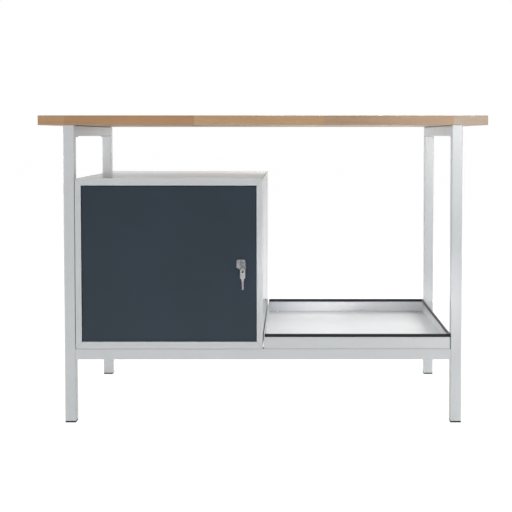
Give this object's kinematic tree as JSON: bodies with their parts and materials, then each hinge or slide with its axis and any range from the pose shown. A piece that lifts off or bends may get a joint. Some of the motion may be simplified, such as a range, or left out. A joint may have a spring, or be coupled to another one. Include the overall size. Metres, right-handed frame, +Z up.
{
  "type": "workbench",
  "caption": "Workbench with a beech top on a square-tube frame, a lockable sheet-steel cabinet with a hinged door on the left, and an open steel tray on the right.",
  "frame": {"origin": "on the floor, below the middle of the whole object, with the key in its lock", "axes": "+X along the bench to the right as seen from the front, +Y from the front to the rear, +Z up"},
  "size_m": [1.25, 0.641, 0.86],
  "materials": {
    "beech": "oiled beech staves, satin",
    "grey_paint": "light grey powder coat, semi-matt",
    "door_paint": "dark blue-grey powder coat, semi-matt",
    "black_plastic": "moulded, matt",
    "grey_plastic": "moulded, matt",
    "black_rubber": "matt",
    "chrome": "polished",
    "zinc": "zinc plated",
    "nickel": "nickel plated, satin"
  },
  "bodies": {
    "bench": {"worktop": "beech", "leg_front_left": "grey_paint", "leg_rear_left": "grey_paint", "leg_front_right": "grey_paint", "leg_rear_right": "grey_paint", "top_rail_left": "grey_paint", "top_rail_right": "grey_paint", "lower_rail_left": "grey_paint", "lower_rail_right": "grey_paint", "lower_rail_front": "grey_paint", "lower_rail_rear": "grey_paint", "foot_front_left": "black_plastic", "foot_rear_left": "black_plastic", "foot_front_right": "black_plastic", "foot_rear_right": "black_plastic", "worktop_screw_front_left": "zinc", "worktop_screw_rear_left": "zinc", "worktop_screw_front_right": "zinc", "worktop_screw_rear_right": "zinc", "cabinet_left_side": "grey_paint", "cabinet_right_side": "grey_paint", "cabinet_top_panel": "grey_paint", "cabinet_bottom_panel": "grey_paint", "cabinet_back_panel": "grey_paint", "cabinet_shelf": "grey_paint", "shelf_bracket_front_left": "grey_paint", "shelf_bracket_rear_left": "grey_paint", "shelf_bracket_front_right": "grey_paint", "shelf_bracket_rear_right": "grey_paint", "side_hole_plug": "grey_plastic", "cabinet_screw_front_left": "zinc", "cabinet_screw_rear_left": "zinc", "cabinet_screw_front_right": "zinc", "cabinet_screw_rear_right": "zinc", "door_bumper_top": "black_rubber", "door_bumper_bottom": "black_rubber", "hinge_pin_top": "zinc", "hinge_pin_bottom": "zinc", "tray_pan": "grey_paint", "tray_edge_trim": "black_plastic", "tray_screw_front_left": "zinc", "tray_screw_rear_left": "zinc", "tray_screw_front_right": "zinc", "tray_screw_rear_right": "zinc"},
    "door": {"door_panel": "door_paint", "door_stiffener": "door_paint", "hinge_bush_top": "black_plastic", "hinge_bush_bottom": "black_plastic", "lock_housing": "chrome", "lock_nut": "zinc"},
    "plug_and_cam": {"lock_plug": "chrome", "lock_cam": "zinc", "cam_screw": "zinc"},
    "inserted_key": {"key": "nickel"},
    "ring": {"key_ring": "nickel"},
    "hanging_key": {"spare_key": "nickel"}
  },
  "joints": [
    {"name": "door_swing", "type": "hinge", "parent": "bench", "child": "door", "pos_m": [-0.4929, -0.27245, 0.2296], "axis": [0, 0, -1], "range_deg": [0, 110]},
    {"name": "key_turn", "type": "hinge", "parent": "door", "child": "plug_and_cam", "pos_m": [-0.0612, -0.28275, 0.44655], "axis": [0, -1, 0], "range_deg": [0, 90]},
    {"name": "key_pull", "type": "slide", "parent": "plug_and_cam", "child": "inserted_key", "axis": [0, -1, 0], "range_m": [0, 0.022]},
    {"name": "ring_swivel", "type": "hinge", "parent": "inserted_key", "child": "ring", "pos_m": [-0.0612, -0.31195, 0.44655], "axis": [0, -1, 0], "range_deg": [-90, 0]},
    {"name": "spare_key_swing", "type": "hinge", "parent": "ring", "child": "hanging_key", "pos_m": [-0.05541, -0.31195, 0.43066], "axis": [-1, 0, 0], "range_deg": [-12, 30]}
  ],
  "couplings": [
    {"joint": "ring_swivel", "follows": "key_turn", "ratio": -1}
  ]
}
